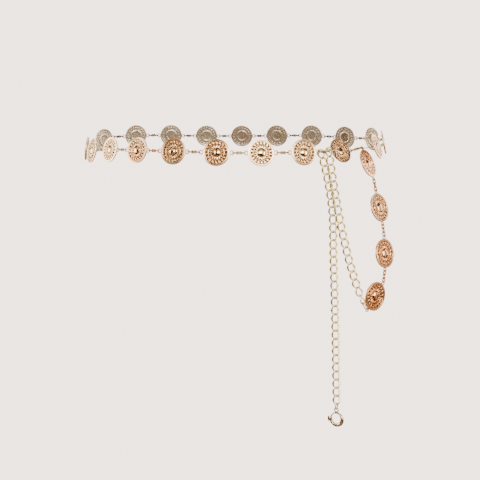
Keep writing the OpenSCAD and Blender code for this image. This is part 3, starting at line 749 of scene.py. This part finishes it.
# %% [markdown]
# ## The spring ring
# The clasp is a tube bent to a ring, slim at one end. A sprung wire bolt comes out of the fat end
# and closes on the slim one, and a thumb tab on the bolt slides in a slot in the tube's outer side.
# The bolt must turn about the same axis as in the CAD model, so the ring's own frame has the CAD
# joint's axis and middle, and one side towards the eye.

# %% Spring ring frame
joint = frame["joints"][0]
print("joint:", joint["name"], "turns through", joint["range_deg"], "degrees")
ring_axis = np.array(joint["axis"], dtype=float)
ring_middle = np.array(joint["pos_m"], dtype=float) / MM
ring_points = merged_triangles("ring_body")[0] - ring_middle
bolt_points = merged_triangles("ring_bolt")[0] - ring_middle
flat = ring_points - np.outer(ring_points @ ring_axis, ring_axis)
eye_way = flat[np.linalg.norm(flat, axis=1).argmax()]
eye_way /= np.linalg.norm(eye_way)
right = np.cross(eye_way, ring_axis)
tab = bolt_points[np.linalg.norm(bolt_points, axis=1).argmax()]
if tab @ right > 0:
    right, ring_axis = -right, -ring_axis
ring_frame = np.array([ring_middle, right, eye_way, ring_axis])[None]
eye_reach = (ring_points @ eye_way).max()
print("eye reaches", round(float(eye_reach), 2), "mm; tab at", np.round(tab @ ring_frame[0, 1:].T, 2))

# %% [markdown]
# ## The ring's tube
# The real tube is rolled from sheet, slotted for the tab, and swaged down to a slim neck with a
# collar. Here it is a section carried round the ring, with a width for each angle. Where the slot
# is, the section dips to the bore; elsewhere the same points lie on the tube, so one grid makes both
# and no boolean cut leaves a ragged edge.

# %% Section and width of the tube
# Lengths in mm, and angles round the ring in degrees.
RING_R, NECK_HALF, BORE_HALF, SLOT_HALF = 6.0, 0.9, 0.8, 0.65
TUBE_HALF, GROOVE_FLOOR_HALF, SHOULDER_HALF = 1.5, 1.42, 1.36
MOUTH, SLOT_END, SHOULDER, NECK_END = 170, 239, 400, 466
CLASP_EYE_R, CLASP_EYE_HALF, CLASP_SOLDER = 1.95, 0.55, 0.2


def slot_section(half, open_share, outer=26, wall=5, bore=9):
    """Closed section of the tube: round the outside, then down one wall of the slot, round the bore
    and up the other wall. With open_share 0 those last points lie on the outside instead."""
    lip = math.asin(min(SLOT_HALF / half, 0.99))
    outside = np.linspace(lip, 2 * np.pi - lip, outer)
    dip = math.asin(SLOT_HALF / BORE_HALF)
    inside = np.linspace(2 * np.pi - dip, dip, bore)
    drop = np.linspace(0, 1, wall + 2)[1:-1, None]
    bore_line = BORE_HALF * stacked(np.cos(inside), np.sin(inside))
    outer_line = half * stacked(np.cos(outside), np.sin(outside))
    down = outer_line[-1] + drop * (bore_line[0] - outer_line[-1])
    up = bore_line[-1] + drop * (outer_line[0] - bore_line[-1])
    dipped = np.vstack([down, bore_line, up])
    shut = np.linspace(-lip, lip, len(dipped) + 2)[1:-1]
    closed = half * stacked(np.cos(shut), np.sin(shut))
    return np.vstack([outer_line, closed + open_share * (dipped - closed)])


def tube_stations():
    """Angle, half width and slot share of each section: lip at the mouth with a turned groove, slot,
    tube, rounded shoulder, collar, neck and rounded tip. The shoulder is a quarter ellipse."""
    body = [(MOUTH, 1.38, 1), (MOUTH + 0.6, 1.46, 1), (MOUTH + 2, TUBE_HALF, 1)]
    body += [(MOUTH + 5, TUBE_HALF, 1), (MOUTH + 5.6, GROOVE_FLOOR_HALF, 1)]
    body += [(MOUTH + 6.6, GROOVE_FLOOR_HALF, 1), (MOUTH + 7.2, TUBE_HALF, 1)]
    body += [(a, TUBE_HALF, 1) for a in np.linspace(MOUTH + 10, SLOT_END, 18)]
    body += [(SLOT_END + 0.1, TUBE_HALF, 0)]
    swell = [245, 285, 315, 345, 375, SHOULDER], [TUBE_HALF, 1.68, 1.86, 1.8, 1.55, SHOULDER_HALF]
    body += [(a, np.interp(a, *swell), 0) for a in np.linspace(SLOT_END + 3, SHOULDER, 36)]
    shoulder = [(SHOULDER + 12 * s, NECK_HALF + (SHOULDER_HALF - NECK_HALF) * math.sqrt(1 - s * s), 0)
                for s in np.linspace(0.15, 1, 8)]
    collar = [(413, 0.92, 0), (414, 1.06, 0), (416, 1.1, 0), (418, 1.06, 0), (419, 0.9, 0)]
    neck = [(a, NECK_HALF, 0) for a in np.linspace(422, NECK_END - 2, 14)]
    tip = [(NECK_END - 1, 0.85, 0), (NECK_END - 0.3, 0.72, 0)]
    return np.array(body + shoulder + collar + neck + tip, dtype=float)


stations = tube_stations()
print("tube stations:", len(stations), "from", stations[0, 0], "to", stations[-1, 0], "degrees")

# %% [markdown]
# ## Tube and eye
# The section turns with the ring, so each station is laid at its angle. The eye is one more ring of
# wire, thicker where it is soldered on, and it carries more wash than the smooth tube. The inside of
# the slot is painted nearly black, as painted shade.

# %% Tube of the spring ring
IN_SLOT, SLOT_SHADE, CLEAN_TUBE, WASHED_EYE = 1.3, 0.95, 0.1, 0.45
sections = np.array([slot_section(half, share) for _, half, share in stations])
angle = np.radians(stations[:, 0])[:, None]
reach = RING_R + sections[..., 0]
tube = stacked(reach * np.cos(angle), reach * np.sin(angle), sections[..., 1])
rows, columns = tube.shape[:2]
tube_uv = stacked(np.linspace(0, 0.9, rows)[:, None], np.arange(columns) / columns).reshape(-1, 2)
caps = [np.arange(columns)[None, ::-1], (rows - 1) * columns + np.arange(columns)[None]]
eye_rows, eye_columns = 40, 12
eye_turn = angles(eye_rows)
eye_path = CLASP_EYE_R * stacked(np.cos(eye_turn), np.sin(eye_turn), 0.0)
soldered_half = CLASP_EYE_HALF + CLASP_SOLDER * np.exp(-((eye_turn - 1.5 * np.pi) / 0.45) ** 2)
eye_points, eye_uv, eye_rub = closed_wire(eye_path, soldered_half, eye_columns)
eye_points = eye_points + [0, eye_reach - CLASP_EYE_R - CLASP_EYE_HALF, 0]
eye_faces = grid_quads(eye_rows, eye_columns, ring=True) + rows * columns
section_reach = np.hypot(sections[..., 0], sections[..., 1]).ravel()
# Points inside the slot are painted nearly black: painted shade in the slot.
in_slot = np.repeat(stations[:, 2] > 0, columns) & (section_reach < IN_SLOT)
add_piece("spring_ring_tube", laid_in(ring_frame, np.vstack([tube.reshape(-1, 3), eye_points])),
          [grid_quads(rows, columns), eye_faces, *caps], "chain", clasp_gold, "clasp_gold", "ring_body",
          uv=np.vstack([tube_uv, eye_uv]), rub=np.append(0 * tube_uv[:, 0], eye_rub),
          copper=0.0, dull=np.append(np.where(in_slot, SLOT_SHADE, CLEAN_TUBE),
                                     np.full(len(eye_points), WASHED_EYE)))
print("spring ring tube:", rows, "sections of", columns, "points")

# %% [markdown]
# ## The bolt and its thumb tab
# The bolt is a wire bent to the ring's curve with a rounded tip. The tab is a small pad on a stem;
# three shallow ridges across it give the thumb a grip. Both are rounded sections carried along an
# arc, drawn in at the ends so that they close. They are one piece, as they move together.

# %% Wire along an arc


def open_wire(path, outward, halves, columns=14, power=1.0):
    """A section carried along an open line, closed by a point at each end. `halves` holds the half
    width along `outward` and across it at each station. They are multiplied by the angle's cosine
    and sine, each to the given power with its sign kept; a power under 1 squares the section."""
    side = np.cross(unit(np.gradient(path, axis=0)), outward)
    around = angles(columns)
    u, v = (np.sign(wave) * abs(wave) ** power for wave in (np.cos(around), np.sin(around)))
    body = path[:, None] + halves[:, 0, None, None] * outward[:, None] * u[None, :, None] \
        + halves[:, 1, None, None] * side[:, None] * v[None, :, None]
    points = np.vstack([body.reshape(-1, 3), path[0], path[-1]])
    return points, grid_quads(len(path), columns), end_fans(len(path), columns)


def ring_arc(radius, degrees):
    """Points and outward directions at these angles round the ring."""
    a = np.radians(degrees)
    outward = stacked(np.cos(a), np.sin(a), 0.0)
    return radius * outward, outward


def rounded_ends(t, power, least):
    """1 in the middle, small at t = -1 and 1: sqrt(1 - |t| ** power), at least sqrt(least)."""
    return np.clip(1 - abs(t) ** power, least, 1) ** 0.5

# %% [markdown]
# ## Putting the bolt together
# Angles count round the ring as the tube's do. The tip is rounded over its first degrees, the pad's
# ridges are the high places of a cosine, and the stem joins the pad to the wire. The bolt rides on
# its own body, so that it can slide into the tube on its own.

# %% Bolt
TIP, BOLT_IN, BOLT_HALF, TAB = 107.6, 193, 0.6, 184
PAD_R, PAD_ARC, PAD_HALF_H, PAD_HALF_W, RIDGE = 8.56, 17, 0.78, 0.5, 0.09
STEM_R, STEM_ARC, STEM_HALF_H, STEM_HALF_W = 7.1, 8, 0.95, 0.45
tip_steps, tip_shares = np.array([0.0, 0.35, 1.2, 2.6, 4.6]), [0.25, 0.5, 0.76, 0.93, 1]
stops = np.concatenate([TIP + tip_steps, np.linspace(TIP + 7, BOLT_IN, 40)])
bolt_half = BOLT_HALF * np.interp(stops, TIP + tip_steps, tip_shares)
bolt = open_wire(*ring_arc(RING_R, stops), stacked(bolt_half, bolt_half))
t = np.linspace(-1, 1, 33)
ends = rounded_ends(t, 10, 0.02)
ridges = RIDGE * np.clip(np.cos(t * 3.5 * np.pi), 0, 1) * (abs(t) < 0.8)
pad_halves = stacked(PAD_HALF_H * ends + ridges, PAD_HALF_W * ends)
pad = open_wire(*ring_arc(PAD_R, TAB + PAD_ARC * t), pad_halves, 20, 0.5)
t = np.linspace(-1, 1, 9)
ends = rounded_ends(t, 8, 0.3)
stem_halves = stacked(STEM_HALF_H * ends, STEM_HALF_W * ends)
stem = open_wire(*ring_arc(STEM_R, TAB + STEM_ARC * t), stem_halves, 14, 0.5)
parts = (bolt, pad, stem)
starts = np.cumsum([0, len(bolt[0]), len(pad[0])])
shape = np.vstack([points for points, _, _ in parts])
quads, fans = (np.vstack([part[k] + start for part, start in zip(parts, starts)]) for k in (1, 2))
bolt_uv = stacked(0.5, np.clip(shape[:, 2] + 0.5, 0, 1) * 0.4)
add_piece("sliding_bolt", laid_in(ring_frame, shape), [quads, fans], "bolt", clasp_gold,
          "clasp_gold", "ring_bolt", uv=bolt_uv, rub=0.0, copper=0.3, dull=0.4)
print("bolt points:", len(shape))

# %% [markdown]
# ## The paper room
# Jewellery is photographed on a sweep of paper. Ours curves up from the floor into a wall all round
# and over into a ceiling, in one pale grey with no corner, so the chain can be looked at from above
# and below. It is one outline spun round the upright axis. The paper glows evenly, is kept out of
# the reflections and casts no shadow, so that it stays plain behind the metal.

# %% Sweep
PAPER_LIGHT, PAPER_GLOW, PAPER_COLOUR = (1.0, 0.82, 0.73), 4.0, (0.03, 0.025, 0.022)
FLOOR, CEILING, WALL, CURVE = -1.3, 2.2, 2.5, 0.9
FLAT, POLE, SPIN = 0.8, 0.00001, 96
bend = np.linspace(0, math.pi / 2, 10)
across, rise = WALL - CURVE * (1 - np.sin(bend)), CURVE * (1 - np.cos(bend))
profile = np.vstack([[[POLE, FLOOR], [FLAT, FLOOR]], stacked(across, FLOOR + rise),
                     stacked(across, CEILING - rise)[::-1], [[FLAT, CEILING], [POLE, CEILING]]])
spin = angles(SPIN)
out, up = profile[:, 0, None], profile[:, 1, None]
room = stacked(out * np.cos(spin), out * np.sin(spin), up).reshape(-1, 3)
sweep_mesh = bpy.data.meshes.new("paper_sweep")
sweep_mesh.from_pydata(room.tolist(), [], grid_quads(len(profile), SPIN).tolist())
sweep = placed("paper_sweep", sweep_mesh)
sweep.data.shade_smooth()
paper, tree, shader = new_finish("paper")
shader.inputs["Base Color"].default_value = (*PAPER_COLOUR, 1)
shader.inputs["Roughness"].default_value = 1
shader.inputs["Emission Color"].default_value = (*PAPER_LIGHT, 1)
shader.inputs["Emission Strength"].default_value = PAPER_GLOW
sweep_mesh.materials.append(paper)
sweep.visible_glossy = False
sweep.visible_shadow = False
print("paper room:", len(room), "points")

# %% [markdown]
# ## What the metal mirrors
# Polished metal shows its surroundings, so the room matters more than the lamps. The metal mirrors a
# plain studio: bright overhead, softer at eye level, dim and brown low down. Dark corners, a slow
# noise pattern over the directions, give it the hard edges between light and dark that make a dome
# look polished.

# %% Studio
LOW_LIGHT, MIDDLE_LIGHT, HIGH_LIGHT = (0.50, 0.43, 0.36), (0.85, 0.77, 0.68), (1.45, 1.38, 1.28)
DARK_CORNER = (0.05, 0.035, 0.025)
world = bpy.data.worlds.new("studio")
bpy.context.scene.world = world
world.use_nodes = True
tree = world.node_tree
sky = tree.nodes["Background"]
way = tree.nodes.new("ShaderNodeTexCoord").outputs["Generated"]
height = step(tree, "ShaderNodeSeparateXYZ", {"Vector": way}).outputs["Z"]
room_light = mixed(tree, ramped(tree, height, -0.8, -0.1), LOW_LIGHT, MIDDLE_LIGHT)
room_light = mixed(tree, ramped(tree, height, -0.05, 0.5), room_light, HIGH_LIGHT)
corners = step(tree, "ShaderNodeTexNoise", {"Vector": way}, Scale=1.7, Detail=1.0).outputs["Fac"]
room_light = mixed(tree, ramped(tree, corners, 0.47, 0.52), DARK_CORNER, room_light)
tree.links.new(room_light, sky.inputs["Color"])
sky.inputs["Strength"].default_value = 1.0
print("studio:", len(tree.nodes), "nodes")

# %% [markdown]
# ## Soft boxes
# Large lamps close to the chain stand in for a photographer's soft boxes. Two stand beside the
# camera and make the domes flash. The others light the chain from both sides, above and behind.
# Each lamp is turned by three directions worked out from its place and its target.

# %% Soft boxes
# Each lamp: its name, its place, what it faces, its width and height, and its watts.
SOFT_BOXES = (
    ("front", (0.34, -1.25, 0.30), (0, 0, -0.05), (0.68, 0.4), 11.5),
    ("slim", (-0.58, -1.13, 0.25), (0, 0, -0.05), (0.3, 0.4), 4.2),
    ("left", (-1.25, 0.2, 0.12), (0, 0, -0.08), (1.1, 0.6), 13.5),
    ("right", (1.22, -0.62, 0.05), (0, 0, -0.1), (0.42, 0.7), 9.0),
    ("right_back", (1.05, 0.8, 0.1), (0, 0, -0.08), (0.9, 0.7), 9.0),
    ("top", (0, 0.2, 1.3), (0, 0, 0), (1.4, 1.2), 14),
    ("back", (0.2, 1.3, 0.5), (0, 0, -0.1), (1.0, 0.7), 6.5))


def soft_box(name, place, target, size, watts):
    """A rectangular lamp at `place` that faces `target`."""
    lamp = bpy.data.lights.new(name, "AREA")
    lamp.shape = "RECTANGLE"
    (lamp.size, lamp.size_y), lamp.energy = size, watts
    box = placed(name, lamp)
    ahead = unit(np.array(target, dtype=float) - place)
    side = unit(np.cross(ahead, (0, 0, 1)))
    up = np.cross(side, ahead)
    box.matrix_world = Matrix([[side[k], up[k], -ahead[k], place[k]] for k in range(3)] + [[0, 0, 0, 1]])
    box.visible_camera = False


for name, *settings in SOFT_BOXES:
    soft_box(f"soft_box_{name}", *settings)
print("soft boxes:", len(SOFT_BOXES))
